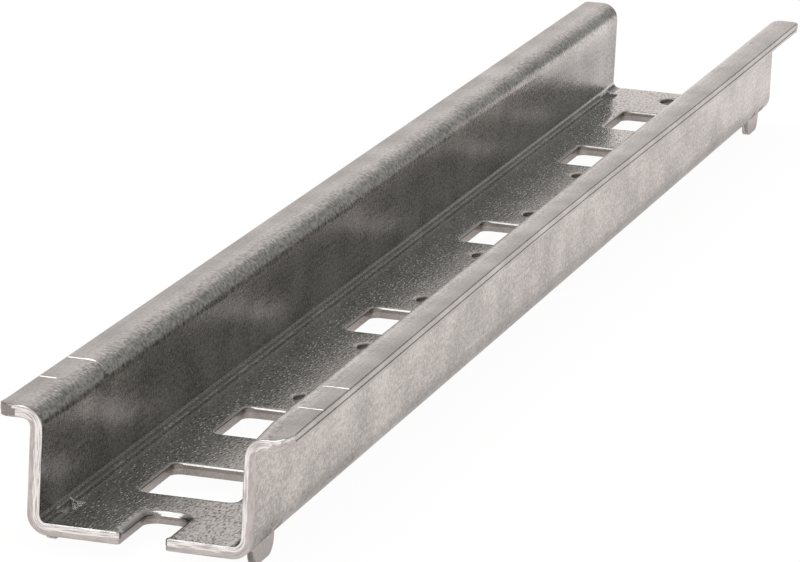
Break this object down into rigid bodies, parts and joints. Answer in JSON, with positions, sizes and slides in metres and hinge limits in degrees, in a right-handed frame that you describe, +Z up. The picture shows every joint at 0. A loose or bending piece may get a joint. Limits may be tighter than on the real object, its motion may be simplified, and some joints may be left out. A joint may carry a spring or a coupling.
{
  "type": "din rail",
  "caption": "Top-hat mounting rail of bent zinc-plated sheet steel, 35 mm wide and 15 mm high, with a punched web, for devices that clip on its lips.",
  "frame": {"origin": "midway along the rail, under the middle of the channel, on the plane of the four pressed feet", "axes": "+X along the rail towards the end with the closed hole, +Y across it, +Z up from the feet to the lips"},
  "size_m": [0.28, 0.035, 0.0169],
  "materials": {
    "zinc_plated_steel": "bright zinc plating, satin, finely mottled"
  },
  "bodies": {
    "root": {"rail": "zinc_plated_steel"}
  },
  "joints": []
}
